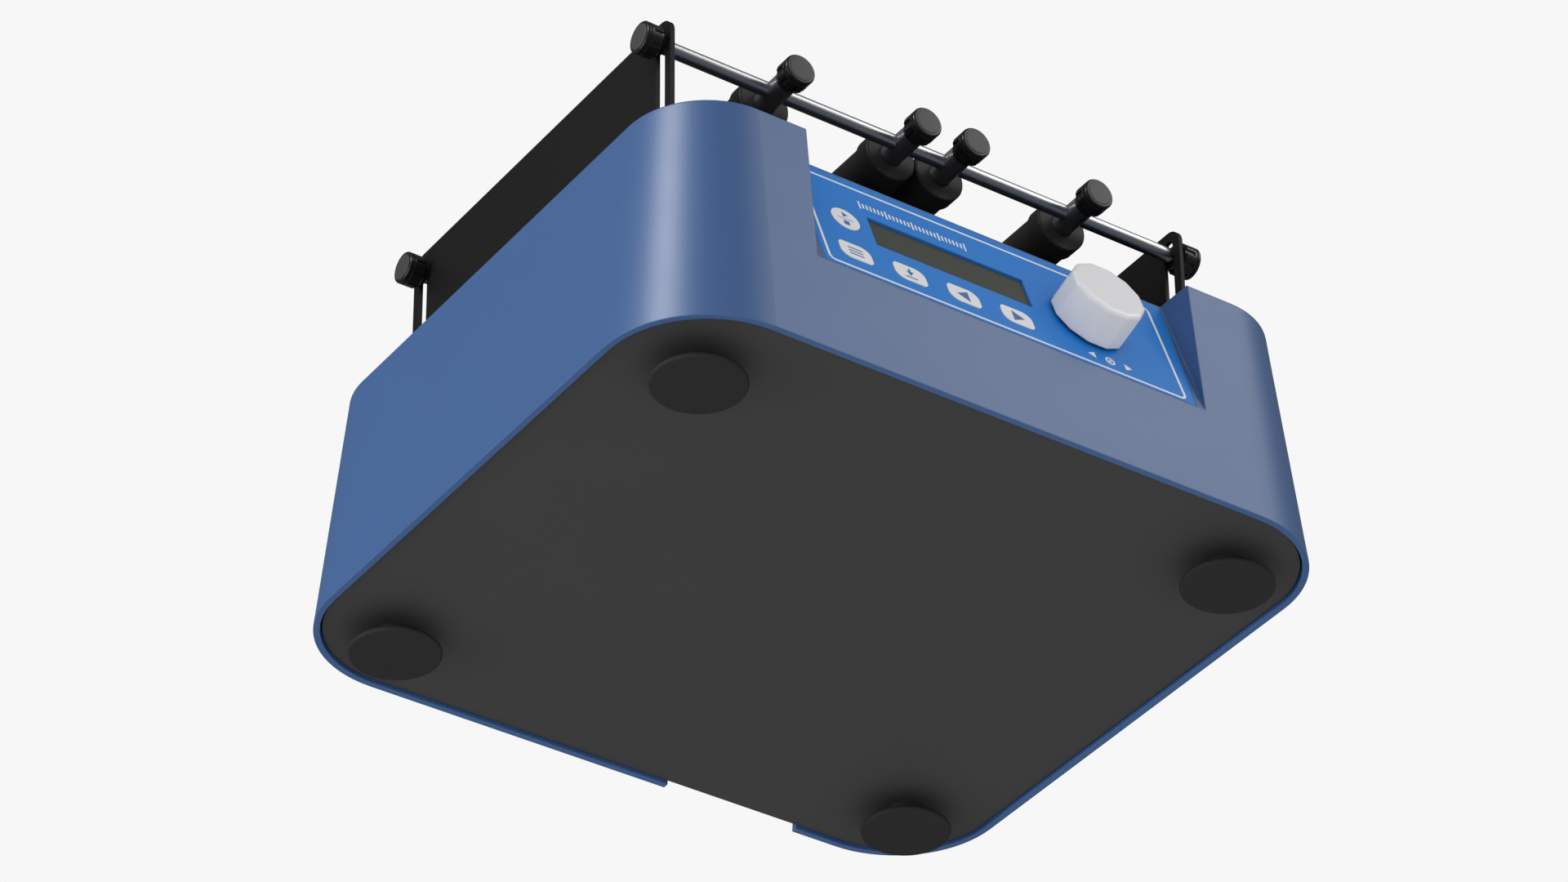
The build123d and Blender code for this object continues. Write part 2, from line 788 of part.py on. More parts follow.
# Platform plate on five bearings, and everything above it, set off by the orbit at rest
bearing_places = [(0, 0)] + idler_places
bearing_pins = [drive_pin_radius] + [idler_pin_radius] * 4
with BuildPart() as platform_plate:
    with BuildSketch(level(platform_bottom, 0, orbit)):
        RectangleRounded(platform_width, platform_depth, platform_corner)
        with Locations(*bearing_places):
            Circle(platform_bearing_radius, mode=Mode.SUBTRACT)
    extrude(amount=platform_thickness)
    with BuildSketch(level(platform_top, 0, orbit)):
        with GridLocations(2 * tray_screw_x, 2 * tray_screw_y, 2, 2):
            Circle(tray_screw_radius)
    extrude(amount=-platform_thickness, mode=Mode.SUBTRACT)
platform_plate.part.label = "platform_plate"

with BuildPart() as platform_bearings:
    for place, pin in zip(bearing_places, bearing_pins):
        with BuildSketch(level(platform_bottom, place[0], place[1] + orbit)):
            Circle(platform_bearing_radius)
            Circle(pin + running_clearance, mode=Mode.SUBTRACT)
        extrude(amount=platform_thickness)
platform_bearings.part.label = "platform_bearings"

# Carrier: one sheet bent up at both ends, with four closed slots for the rods
lug_radius = slot_width / 2 + slot_strip
carrier_depth = 2 * (rod_half_spacing + lug_radius)
slot_top = carrier_z - lug_radius
slot_bottom = rod_z - slot_run
outer_half = carrier_half_width + carrier_sheet
with BuildPart() as carrier_tray:
    with BuildSketch(Plane.XZ.offset(-platform_y - carrier_depth / 2)) as section:
        with BuildLine():
            Polyline(
                (-outer_half, platform_top),
                (outer_half, platform_top),
                (outer_half, carrier_z),
                (carrier_half_width, carrier_z),
                (carrier_half_width, tray_floor_top),
                (-carrier_half_width, tray_floor_top),
                (-carrier_half_width, carrier_z),
                (-outer_half, carrier_z),
                close=True,
            )
        make_face()
        low_corners = section.vertices().group_by(Axis.Y)
        fillet(low_corners[0], carrier_bend + carrier_sheet)
        fillet(low_corners[1], carrier_bend)
    extrude(amount=carrier_depth)
    fillet(carrier_tray.edges().filter_by(Axis.X).group_by(Axis.Z)[-1], lug_radius)
    with BuildSketch(Plane.YZ.offset(-outer_half)):
        with Locations(
            (platform_y - rod_half_spacing, (slot_top + slot_bottom) / 2),
            (platform_y + rod_half_spacing, (slot_top + slot_bottom) / 2),
        ):
            SlotCenterToCenter(slot_top - slot_bottom, slot_width, rotation=90)
    extrude(amount=2 * outer_half, mode=Mode.SUBTRACT)
    with BuildSketch(level(tray_floor_top, 0, orbit)):
        with GridLocations(2 * tray_screw_x, 2 * tray_screw_y, 2, 2):
            Circle(tray_screw_radius)
    extrude(amount=-carrier_sheet, mode=Mode.SUBTRACT)
carrier_tray.part.label = "carrier_tray"

with BuildPart() as tray_screws:
    with BuildSketch(level(platform_bottom, 0, orbit)):
        with GridLocations(2 * tray_screw_x, 2 * tray_screw_y, 2, 2):
            Circle(tray_screw_radius)
    extrude(amount=tray_floor_top - platform_bottom)
    with BuildSketch(level(tray_floor_top, 0, orbit)):
        with GridLocations(2 * tray_screw_x, 2 * tray_screw_y, 2, 2):
            Circle(tray_screw_head)
    extrude(amount=tray_screw_head_height)
tray_screws.part.label = "tray_screws"

with BuildPart() as grip_mat:
    with BuildSketch(level(tray_floor_top, 0, orbit)):
        RectangleRounded(mat_width, mat_depth, mat_corner)
    extrude(amount=mat_thickness)
grip_mat.part.label = "grip_mat"


def rod_with_studs(side):
    """A chromed rod across the carrier, shouldered down to a stud that passes through each slot."""
    y = platform_y + side * rod_half_spacing
    half = carrier_half_width - seat_gap
    reach = outer_half + knob_length - knob_cap_length - seat_gap
    with BuildPart() as rod:
        with BuildSketch(Plane.YZ.offset(-half)):
            with Locations((y, rod_z)):
                Circle(rod_radius)
        extrude(amount=2 * half)
        with BuildSketch(Plane.YZ.offset(-reach)):
            with Locations((y, rod_z)):
                Circle(rod_stud_radius)
        extrude(amount=2 * reach)
    return rod.part


front_rod = rod_with_studs(-1)
front_rod.label = "front_rod"
rear_rod = rod_with_studs(1)
rear_rod.label = "rear_rod"


def knob(plane, stud=0.0, socket=0.0):
    """A fluted clamp knob: neck, grip, ring groove and cap, along the plane's own axis."""
    grip = knob_length - knob_cap_length
    with BuildPart() as turned:
        with BuildSketch(Plane(origin=plane.origin, x_dir=plane.x_dir, z_dir=-plane.y_dir)):
            with BuildLine():
                Polyline(
                    (0, 0),
                    (knob_neck_radius, 0),
                    (knob_neck_radius, knob_neck_length),
                    (knob_radius - knob_edge_round, knob_neck_length),
                    (knob_radius, knob_neck_length + knob_edge_round),
                    (knob_radius, grip),
                    (knob_radius - knob_ring_depth, grip),
                    (knob_radius - knob_ring_depth, grip + knob_ring_width),
                    (knob_radius, grip + knob_ring_width),
                    (knob_radius, knob_length),
                    (0, knob_length),
                    close=True,
                )
            make_face()
        revolve(axis=Axis(plane.origin, plane.z_dir))
        fillet(turned.faces().sort_by(Axis(plane.origin, plane.z_dir))[-1].edges(), knob_edge_round)
        with BuildSketch(plane.offset(knob_neck_length)):
            with PolarLocations(knob_radius, knob_flutes):
                Rectangle(2 * knob_flute_depth, knob_flute_width)
        extrude(amount=grip - knob_neck_length - knob_edge_round, mode=Mode.SUBTRACT)
        if stud:
            with BuildSketch(plane):
                Circle(knob_stud_radius)
            extrude(amount=-stud)
        if socket:
            with BuildSketch(plane):
                Circle(rod_stud_radius + running_clearance)
            extrude(amount=socket, mode=Mode.SUBTRACT)
    return turned.part


# Knobs on the rods' ends, outside the carrier
knobs = {}
for row, side in (("front", -1), ("rear", 1)):
    for hand, way in (("left", -1), ("right", 1)):
        seat = Plane(
            origin=(way * (outer_half + seat_gap), platform_y + side * rod_half_spacing, rod_z),
            x_dir=(0, 1, 0),
            z_dir=(way, 0, 0),
        )
        name = f"end_knob_{row}_{hand}"
        knobs[name] = knob(seat, socket=knob_length - knob_cap_length)
        knobs[name].label = name

# Rollers: a steel bar with a bored clamp barrel at each end, and a rubber sleeve with thicker heads
stud_length = barrel_nose - rod_radius - 2 * seat_gap
bars = {}
sleeves = {}
for number, x in enumerate(roller_places, 1):
    front_y = platform_y - rod_half_spacing
    rear_y = platform_y + rod_half_spacing
    with BuildPart() as bar:
        with BuildSketch(Plane(origin=(x, front_y - barrel_nose, rod_z), z_dir=(0, 1, 0))):
            Circle(barrel_radius)
        extrude(amount=barrel_nose + barrel_tail)
        with BuildSketch(Plane(origin=(x, rear_y + barrel_nose, rod_z), z_dir=(0, -1, 0))):
            Circle(barrel_radius)
        extrude(amount=barrel_nose + barrel_tail)
        with BuildSketch(Plane(origin=(x, front_y, rod_z), z_dir=(0, 1, 0))):
            Circle(bar_radius)
        extrude(amount=rear_y - front_y)
        with BuildSketch(Plane(origin=(x, front_y - barrel_nose, rod_z), z_dir=(0, 1, 0))):
            Circle(knob_stud_radius + running_clearance)
        extrude(amount=barrel_nose, mode=Mode.SUBTRACT)
        with BuildSketch(Plane(origin=(x, rear_y + barrel_nose, rod_z), z_dir=(0, -1, 0))):
            Circle(knob_stud_radius + running_clearance)
        extrude(amount=barrel_nose, mode=Mode.SUBTRACT)
        with BuildSketch(Plane.YZ.offset(x - 2 * barrel_radius)):
            with Locations((front_y, rod_z), (rear_y, rod_z)):
                Circle(rod_radius + sliding_clearance)
        extrude(amount=4 * barrel_radius, mode=Mode.SUBTRACT)
    bar.part.label = f"roller_bar_{number}"
    bars[bar.part.label] = bar.part

    with BuildPart() as sleeve:
        length = rear_y - front_y - 2 * sleeve_face
        with BuildSketch(Plane(origin=(x, front_y + sleeve_face, rod_z), z_dir=(0, 1, 0))):
            Circle(sleeve_radius)
        extrude(amount=length)
        for y, way in ((front_y + sleeve_face, 1), (rear_y - sleeve_face, -1)):
            with BuildSketch(Plane(origin=(x, y, rod_z), z_dir=(0, way, 0))):
                Circle(sleeve_head_radius)
            extrude(amount=sleeve_head_length)
        fillet(sleeve.edges().filter_by(GeomType.CIRCLE).group_by(SortBy.RADIUS)[-1], sleeve_edge_round)
        for y, way in ((front_y + sleeve_face, 1), (rear_y - sleeve_face, -1)):
            with BuildSketch(Plane(origin=(x, y, rod_z), z_dir=(0, way, 0))):
                Circle(barrel_radius + part_clearance)
            extrude(amount=barrel_tail - sleeve_face, mode=Mode.SUBTRACT)
        with BuildSketch(Plane(origin=(x, front_y, rod_z), z_dir=(0, 1, 0))):
            Circle(bar_radius)
        extrude(amount=rear_y - front_y, mode=Mode.SUBTRACT)
    sleeve.part.label = f"roller_sleeve_{number}"
    sleeves[sleeve.part.label] = sleeve.part

    for row, side in (("front", -1), ("rear", 1)):
        seat = Plane(
            origin=(x, platform_y + side * (rod_half_spacing + barrel_nose + seat_gap), rod_z),
            x_dir=(1, 0, 0),
            z_dir=(0, side, 0),
        )
        name = f"clamp_knob_{row}_{number}"
        knobs[name] = knob(seat, stud=stud_length)
        knobs[name].label = name

pieces = [
    housing_shell.part,
    base_plate.part,
    *feet.values(),
    foot_studs.part,
    control_panel.part,
    display_window.part,
    *keys.values(),
    control_board.part,
    encoder_plunger.part,
    encoder_shaft.part,
    dial_knob.part,
    rear_panel.part,
    mains_inlet.part,
    switch_frame.part,
    power_rocker.part,
    chassis_deck.part,
    shaft_bearings.part,
    eccentric_shaft,
    *idler_cranks.values(),
    drive_pulley.part,
    motor_can.part,
    motor_pulley.part,
    drive_belt.part,
    platform_plate.part,
    platform_bearings.part,
    carrier_tray.part,
    tray_screws.part,
    grip_mat.part,
    front_rod,
    rear_rod,
    *bars.values(),
    *sleeves.values(),
    *knobs.values(),
]

os.makedirs("parts", exist_ok=True)
for piece in pieces:
    export_step(piece, f"parts/{piece.label}.step")
print(len(pieces), "pieces written")
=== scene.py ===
# %% [markdown]
# # An orbital shaker, dressed for a studio picture
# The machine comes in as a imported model: every shell, rod, roller and knob already has its real shape,
# size and place. This lesson gives the surfaces their finishes, adds the prints and small fittings that
# are too thin or too fine to be separate solids, and lights the whole like a product picture taken
# from below the bench. All lengths are in metres, and +Z is up.

import json
from math import atan2, cos, degrees, pi, radians, sin

import bmesh
import bpy
from mathutils import Matrix, Vector


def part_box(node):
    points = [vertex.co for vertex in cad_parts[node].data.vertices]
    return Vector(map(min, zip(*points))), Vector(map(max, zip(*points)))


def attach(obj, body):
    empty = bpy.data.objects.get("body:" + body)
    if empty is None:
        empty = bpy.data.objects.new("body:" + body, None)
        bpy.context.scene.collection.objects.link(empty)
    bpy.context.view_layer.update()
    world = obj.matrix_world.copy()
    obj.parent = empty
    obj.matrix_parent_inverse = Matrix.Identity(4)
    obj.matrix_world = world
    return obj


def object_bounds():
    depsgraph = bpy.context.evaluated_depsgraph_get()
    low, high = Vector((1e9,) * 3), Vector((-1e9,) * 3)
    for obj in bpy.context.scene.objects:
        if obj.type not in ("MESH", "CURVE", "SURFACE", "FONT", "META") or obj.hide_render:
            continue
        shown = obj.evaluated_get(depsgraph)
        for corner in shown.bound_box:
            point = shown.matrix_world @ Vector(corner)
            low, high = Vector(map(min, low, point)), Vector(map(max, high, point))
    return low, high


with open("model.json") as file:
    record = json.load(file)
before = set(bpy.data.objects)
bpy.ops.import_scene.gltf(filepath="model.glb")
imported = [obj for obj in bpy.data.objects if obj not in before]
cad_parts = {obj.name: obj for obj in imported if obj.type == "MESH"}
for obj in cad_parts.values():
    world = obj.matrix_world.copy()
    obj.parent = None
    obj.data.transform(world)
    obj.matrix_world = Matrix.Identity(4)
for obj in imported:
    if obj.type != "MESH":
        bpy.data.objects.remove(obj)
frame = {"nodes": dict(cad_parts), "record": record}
nodes = frame["nodes"]
cad_low, cad_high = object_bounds()
scene = bpy.context.scene
scene.view_settings.view_transform = "Standard"
MM = 0.001

# %% [markdown]
# ## The camera
# A picture's perspective is set by where the camera stands, and its framing by the lens. Here the
# camera stands under the level of the bench, in front and to the left, and looks up. Its turn is
# built from three angles, the way a tripod head works: azimuth, elevation and a slight roll. The
# alternative, a Track To constraint, can't hold a roll, so the matrix is written out.

# %% Camera
camera_place = Vector((-1.2324, -1.7834, -1.4285))
camera_azimuth = radians(-34.33)
camera_elevation = radians(-35.12)
camera_roll = radians(-0.62)
camera_lens = 134.57


def turned(x_axis, y_axis, z_axis):
    """The rotation that lays the three axes of a thing along three directions."""
    return Matrix((x_axis, y_axis, z_axis)).transposed().to_4x4()


def camera_axes(azimuth, elevation, roll):
    """The camera's right, up and back directions."""
    back = Vector((sin(azimuth) * cos(elevation), -cos(azimuth) * cos(elevation), sin(elevation)))
    right = Vector((cos(azimuth), sin(azimuth), 0))
    up = back.cross(right)
    return cos(roll) * right + sin(roll) * up, cos(roll) * up - sin(roll) * right, back


camera_data = bpy.data.cameras.new("camera")
camera_data.lens = camera_lens
camera_data.clip_start = 0.1
camera_data.clip_end = 20
camera = bpy.data.objects.new("camera", camera_data)
right, up, back = camera_axes(camera_azimuth, camera_elevation, camera_roll)
camera.matrix_world = Matrix.Translation(camera_place) @ turned(right, up, back)
scene.collection.objects.link(camera)
scene.camera = camera
print("camera: lens", camera_lens, "mm, looking along", tuple(round(-c, 3) for c in back))

# %% [markdown]
# ## Studio light
# The picture is lit as softly as a light tent: an even world that lights everything from all sides,
# and three lamps. The camera and clear glass see a near-white backdrop, but a mirror sees a darker
# room, as it would behind a product photographer's black flags. A Light Path node tells those rays
# apart, and keeps the dark plastics dark. Two of the lamps only shine in reflections: one stands
# where the rounded front corner mirrors it, one where the front wall does. The third lights the
# left side.

# %% World and lamps


def math_node(tree, operation, first, second):
    """A Math node on two values, each a socket to link or a plain number."""
    node = tree.nodes.new("ShaderNodeMath")
    node.operation = operation
    for slot, value in enumerate((first, second)):
        if isinstance(value, (int, float)):
            node.inputs[slot].default_value = value
        else:
            tree.links.new(value, node.inputs[slot])
    return node.outputs[0]


backdrop_white = 0.93
world_light = 0.85
mirrored_room = 0.16

world = bpy.data.worlds.new("light_tent")
scene.world = world
world.use_nodes = True
tree = world.node_tree
tree.nodes.clear()
output = tree.nodes.new("ShaderNodeOutputWorld")
path = tree.nodes.new("ShaderNodeLightPath")
clear_view = math_node(tree, "MAXIMUM", path.outputs["Is Camera Ray"], path.outputs["Is Transmission Ray"])
shown = math_node(tree, "MULTIPLY", clear_view, backdrop_white - world_light)
mirrored = math_node(tree, "MULTIPLY", path.outputs["Is Glossy Ray"], mirrored_room - world_light)
strength = math_node(tree, "ADD", math_node(tree, "ADD", shown, mirrored), world_light)
shining = tree.nodes.new("ShaderNodeBackground")
shining.inputs["Color"].default_value = (1, 1, 1, 1)
tree.links.new(strength, shining.inputs["Strength"])
tree.links.new(shining.outputs[0], output.inputs["Surface"])

middle = (cad_low + cad_high) / 2


def soft_lamp(name, aim, direction, distance, size, power, only_mirrored=False):
    """A square area lamp that stands off from a point in a direction and faces it."""
    data = bpy.data.lights.new(name, "AREA")
    data.size = size
    data.energy = power
    lamp = bpy.data.objects.new(name, data)
    away = Vector(direction).normalized()
    lamp.location = Vector(aim) + away * distance
    lamp.rotation_mode = "QUATERNION"
    lamp.rotation_quaternion = away.to_track_quat("Z", "Y")
    lamp.visible_diffuse = not only_mirrored
    scene.collection.objects.link(lamp)


corner_foot = (-0.162, -0.142, 0.03)
front_end = (0.15, -0.16, 0.04)
corner_mirror = (-0.688, -0.130, 0.714)
front_mirror = (0.461, -0.550, 0.696)
from_the_left = (-1.0, 0.15, -0.10)
soft_lamp("corner_lamp", corner_foot, corner_mirror, distance=1.0, size=0.30, power=6.6, only_mirrored=True)
soft_lamp("front_lamp", front_end, front_mirror, distance=1.2, size=0.80, power=6.3, only_mirrored=True)
soft_lamp("side_lamp", middle, from_the_left, distance=1.8, size=1.2, power=16)

# %% [markdown]
# ## A floor that can be looked through from below
# A machine photographed from under its bench needs a floor that is there from above, to hold the
# shadow, and gone from below. The Backfacing output swaps the floor for a Transparent shader on its
# underside. The floor also casts no shadow and bounces no light, so that the base is lit from below
# as if the floor weren't there.

# %% Floor
floor_reach = 6.0
floor_grey = 0.86
floor_mesh = bpy.data.meshes.new("floor")
floor_corners = [(x * floor_reach, y * floor_reach, 0) for x, y in ((-1, -1), (1, -1), (1, 1), (-1, 1))]
floor_mesh.from_pydata(floor_corners, [], [(0, 1, 2, 3)])
floor = bpy.data.objects.new("floor", floor_mesh)
scene.collection.objects.link(floor)
floor_finish = bpy.data.materials.new("floor_paper")
floor_finish.use_nodes = True
tree = floor_finish.node_tree
tree.nodes.clear()
output = tree.nodes.new("ShaderNodeOutputMaterial")
paper = tree.nodes.new("ShaderNodeBsdfDiffuse")
paper.inputs["Color"].default_value = (floor_grey, floor_grey, floor_grey, 1)
clear = tree.nodes.new("ShaderNodeBsdfTransparent")
facing = tree.nodes.new("ShaderNodeNewGeometry")
swap = tree.nodes.new("ShaderNodeMixShader")
tree.links.new(facing.outputs["Backfacing"], swap.inputs["Fac"])
tree.links.new(paper.outputs[0], swap.inputs[1])
tree.links.new(clear.outputs[0], swap.inputs[2])
tree.links.new(swap.outputs[0], output.inputs["Surface"])
floor_mesh.materials.append(floor_finish)
floor.visible_shadow = False
floor.visible_diffuse = False
floor.visible_glossy = False
print("floor:", 2 * floor_reach, "m square, clear from below")

# %% [markdown]
# ## Two effects that many finishes share
# Real moulded and painted surfaces are never even. A shader node group holds the effect once, with
# named inputs, so that each finish only sets its own values. The first group is the grain: fine
# noise for the height of the surface, and slow noise that shifts the colour and the gloss a little.
# It reads Object coordinates, which are metres here, so a scale is simply how many grains fit in one.

# %% Surface grain group


def new_group(name, inputs, outputs):
    """An empty shader node group with its sockets, and its input and output nodes."""
    group = bpy.data.node_groups.new(name, "ShaderNodeTree")
    for label, kind in inputs:
        group.interface.new_socket(label, in_out="INPUT", socket_type=kind)
    for label, kind in outputs:
        group.interface.new_socket(label, in_out="OUTPUT", socket_type=kind)
    return group, group.nodes.new("NodeGroupInput"), group.nodes.new("NodeGroupOutput")


def noise_node(tree, vector, scale, detail=3.0):
    """The Fac of a Noise texture, with its scale a socket to link or a plain number."""
    node = tree.nodes.new("ShaderNodeTexNoise")
    node.inputs["Detail"].default_value = detail
    tree.links.new(vector, node.inputs["Vector"])
    if isinstance(scale, (int, float)):
        node.inputs["Scale"].default_value = scale
    else:
        tree.links.new(scale, node.inputs["Scale"])
    return node.outputs["Fac"]


grain_group, taken, given = new_group(
    "surface_grain",
    [
        ("Vector", "NodeSocketVector"),
        ("Color", "NodeSocketColor"),
        ("Mottle", "NodeSocketFloat"),
        ("Roughness", "NodeSocketFloat"),
        ("Smudge", "NodeSocketFloat"),
        ("Grain", "NodeSocketFloat"),
    ],
    [("Color", "NodeSocketColor"), ("Roughness", "NodeSocketFloat"), ("Height", "NodeSocketFloat")],
)
slow_scale = 16.0
smudge_scale = 38.0
slow = noise_node(grain_group, taken.outputs["Vector"], slow_scale)
smudge = noise_node(grain_group, taken.outputs["Vector"], smudge_scale, detail=5.0)
fine = noise_node(grain_group, taken.outputs["Vector"], taken.outputs["Grain"])
shift = math_node(grain_group, "SUBTRACT", slow, 0.5)
shift = math_node(grain_group, "MULTIPLY", shift, taken.outputs["Mottle"])
value = math_node(grain_group, "ADD", shift, 1.0)
tint = grain_group.nodes.new("ShaderNodeHueSaturation")
grain_group.links.new(value, tint.inputs["Value"])
grain_group.links.new(taken.outputs["Color"], tint.inputs["Color"])
rub = math_node(grain_group, "SUBTRACT", smudge, 0.5)
rub = math_node(grain_group, "MULTIPLY", rub, taken.outputs["Smudge"])
rough = math_node(grain_group, "ADD", rub, taken.outputs["Roughness"])
grain_group.links.new(tint.outputs["Color"], given.inputs["Color"])
grain_group.links.new(rough, given.inputs["Roughness"])
grain_group.links.new(fine, given.inputs["Height"])
print("group:", grain_group.name)

# %% [markdown]
# The second group softens edges. No sheet or moulding has a knife edge: a thin rounding there catches a
# line of light. A Bevel node bends the normal near an edge, which costs no faces, and where the bent normal
# leaves the true one the group also mixes in a lighter edge colour: a painted highlight along the edge.

# %% Soft edge group, with a painted edge highlight
# How strongly the lighter edge colour, a painted highlight, follows the bent normal.
highlight_gain = 3.0
edge_group, taken, given = new_group(
    "soft_edge_painted_highlight",
    [("Color", "NodeSocketColor"), ("Painted Highlight Color", "NodeSocketColor"), ("Radius", "NodeSocketFloat")],
    [("Color", "NodeSocketColor"), ("Normal", "NodeSocketVector")],
)
bevel = edge_group.nodes.new("ShaderNodeBevel")
bevel.samples = 6
edge_group.links.new(taken.outputs["Radius"], bevel.inputs["Radius"])
true_normal = edge_group.nodes.new("ShaderNodeNewGeometry")
agree = edge_group.nodes.new("ShaderNodeVectorMath")
agree.operation = "DOT_PRODUCT"
edge_group.links.new(bevel.outputs["Normal"], agree.inputs[0])
edge_group.links.new(true_normal.outputs["Normal"], agree.inputs[1])
# Where the bent normal leaves the true one is the mask for the painted highlight: a lighter colour along
# each edge.
highlight_mask = math_node(edge_group, "SUBTRACT", 1.0, agree.outputs["Value"])
highlight_mask = math_node(edge_group, "MULTIPLY", highlight_mask, highlight_gain)
painted_highlight = edge_group.nodes.new("ShaderNodeMix")
painted_highlight.data_type = "RGBA"
edge_group.links.new(highlight_mask, painted_highlight.inputs["Factor"])
edge_group.links.new(taken.outputs["Color"], painted_highlight.inputs["A"])
edge_group.links.new(taken.outputs["Painted Highlight Color"], painted_highlight.inputs["B"])
edge_group.links.new(painted_highlight.outputs["Result"], given.inputs["Color"])
edge_group.links.new(bevel.outputs["Normal"], given.inputs["Normal"])
print("group:", edge_group.name)

# %% [markdown]
# ## One recipe for the finishes
# Each finish is a Principled shader fed by the groups. What is even all over a surface, such as
# metalness, coat or gloss level, is set on the shader itself. Colours are written as the eye reads
# them on a screen, from 0 to 255, and turned into the linear values that light is computed with.

# %% Finish recipe


def screen_colour(red, green, blue):
    """A linear colour from screen values of 0 to 255."""
    linear = []
    for value in (red, green, blue):
        part = value / 255
        linear.append(part / 12.92 if part <= 0.04045 else ((part + 0.055) / 1.055) ** 2.4)
    return (*linear, 1)


def put_group(tree, group, values):
    """A group node with its inputs linked to sockets or set to plain values."""
    node = tree.nodes.new("ShaderNodeGroup")
    node.node_tree = group
    for label, value in values.items():
        if isinstance(value, bpy.types.NodeSocket):
            tree.links.new(value, node.inputs[label])
        else:
            node.inputs[label].default_value = value
    return node


def finish(
    name,
    colour,
    roughness,
    mottle=0.08,
    smudge=0.08,
    grain=1400,
    depth=0.01,
    edge=None,
    edge_radius=0.6 * MM,
    metallic=0.0,
    specular=0.5,
    coat=0.0,
    coat_roughness=0.1,
    pattern=None,
):
    """A material of surface grain, soft edges with a painted highlight in a lighter edge colour, and any
    pattern of its own, given as a function.
    """
    material = bpy.data.materials.new(name)
    material.use_nodes = True
    tree = material.node_tree
    tree.nodes.clear()
    output = tree.nodes.new("ShaderNodeOutputMaterial")
    shader = tree.nodes.new("ShaderNodeBsdfPrincipled")
    place = tree.nodes.new("ShaderNodeTexCoord")
    shader.inputs["Metallic"].default_value = metallic
    shader.inputs["Specular IOR Level"].default_value = specular
    shader.inputs["Coat Weight"].default_value = coat
    shader.inputs["Coat Roughness"].default_value = coat_roughness
    grained = put_group(
        tree,
        grain_group,
        {
            "Vector": place.outputs["Object"],
            "Color": colour,
            "Mottle": mottle,
            "Roughness": roughness,
            "Smudge": smudge,
            "Grain": grain,
        },
    )
    look = grained.outputs["Color"]
    height = grained.outputs["Height"]
    if pattern:
        look, height = pattern(tree, place.outputs["Object"], look, height)
    bump = tree.nodes.new("ShaderNodeBump")
    bump.inputs["Strength"].default_value = 1.0
    bump.inputs["Distance"].default_value = depth * MM
    tree.links.new(height, bump.inputs["Height"])
    # Where an edge colour is given, it is mixed in along the edges as a painted highlight.
    if edge:
        soft = put_group(tree, edge_group, {"Color": look, "Painted Highlight Color": edge, "Radius": edge_radius})
        look = soft.outputs["Color"]
        tree.links.new(soft.outputs["Normal"], bump.inputs["Normal"])
    tree.links.new(look, shader.inputs["Base Color"])
    tree.links.new(grained.outputs["Roughness"], shader.inputs["Roughness"])
    tree.links.new(bump.outputs["Normal"], shader.inputs["Normal"])
    tree.links.new(shader.outputs["BSDF"], output.inputs["Surface"])
    return material


def mix_colour(tree, mask, first, second):
    """The first colour where the mask is 0 and the second where it is 1."""
    node = tree.nodes.new("ShaderNodeMix")
    node.data_type = "RGBA"
    tree.links.new(mask, node.inputs["Factor"])
    for label, value in (("A", first), ("B", second)):
        if isinstance(value, bpy.types.NodeSocket):
            tree.links.new(value, node.inputs[label])
        else:
            node.inputs[label].default_value = value
    return node.outputs["Result"]


print("recipe ready")

# %% [markdown]
# ## Finishes with a pattern of their own
# Three surfaces have more than grain. The liquid crystal window shows the faint columns of its
# character cells. Drawn metal has fine lines along one axis. The mat on the tray is ribbed rubber.
# Each pattern is a small function that takes the colour and height so far and gives them back
# changed.

# %% Patterns
window_low, window_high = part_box("display_window")
cell_count = 22
cell_pitch = (window_high.x - window_low.x) / cell_count
cell_share = 0.82
cell_weight = 0.35
cell_value = 0.86
lines_across = 2400.0
lines_along = 12.0
line_value = 0.85
line_contrast = 0.3
rib_pitch = 3 * MM
rib_height = 6.0


def repeat(tree, source, pitch):
    """A value that climbs from 0 to 1 over each pitch."""
    scaled = math_node(tree, "DIVIDE", source, pitch)
    return math_node(tree, "FRACT", scaled, 0.0)


def character_cells(tree, vector, look, height):
    """Slightly darker columns of cells on the display."""
    split = tree.nodes.new("ShaderNodeSeparateXYZ")
    tree.links.new(vector, split.inputs[0])
    column = repeat(tree, split.outputs["X"], cell_pitch)
    inside = math_node(tree, "LESS_THAN", column, cell_share)
    weak = math_node(tree, "MULTIPLY", inside, cell_weight)
    dark = tree.nodes.new("ShaderNodeHueSaturation")
    dark.inputs["Value"].default_value = cell_value
    tree.links.new(look, dark.inputs["Color"])
    return mix_colour(tree, weak, look, dark.outputs["Color"]), height


def drawn_lines(axis):
    """Fine lines along one axis, as a drawn or ground rod has."""

    def pattern(tree, vector, look, height):
        stretch = tree.nodes.new("ShaderNodeMapping")
        scale = [lines_across] * 3
        scale[axis] = lines_along
        stretch.inputs["Scale"].default_value = scale
        tree.links.new(vector, stretch.inputs["Vector"])
        lines = noise_node(tree, stretch.outputs["Vector"], scale=1.0, detail=2.0)
        bright = tree.nodes.new("ShaderNodeHueSaturation")
        value = math_node(tree, "MULTIPLY", lines, line_contrast)
        value = math_node(tree, "ADD", value, line_value)
        tree.links.new(value, bright.inputs["Value"])
        tree.links.new(look, bright.inputs["Color"])
        return bright.outputs["Color"], lines

    return pattern


def mat_ribs(tree, vector, look, height):
    """Low ribs across the mat, with the grain kept on top of them."""
    split = tree.nodes.new("ShaderNodeSeparateXYZ")
    tree.links.new(vector, split.inputs[0])
    wave = math_node(tree, "MULTIPLY", split.outputs["X"], 2 * pi / rib_pitch)
    wave = math_node(tree, "SINE", wave, 0.0)
    wave = math_node(tree, "MULTIPLY", wave, rib_height)
    return look, math_node(tree, "ADD", wave, height)


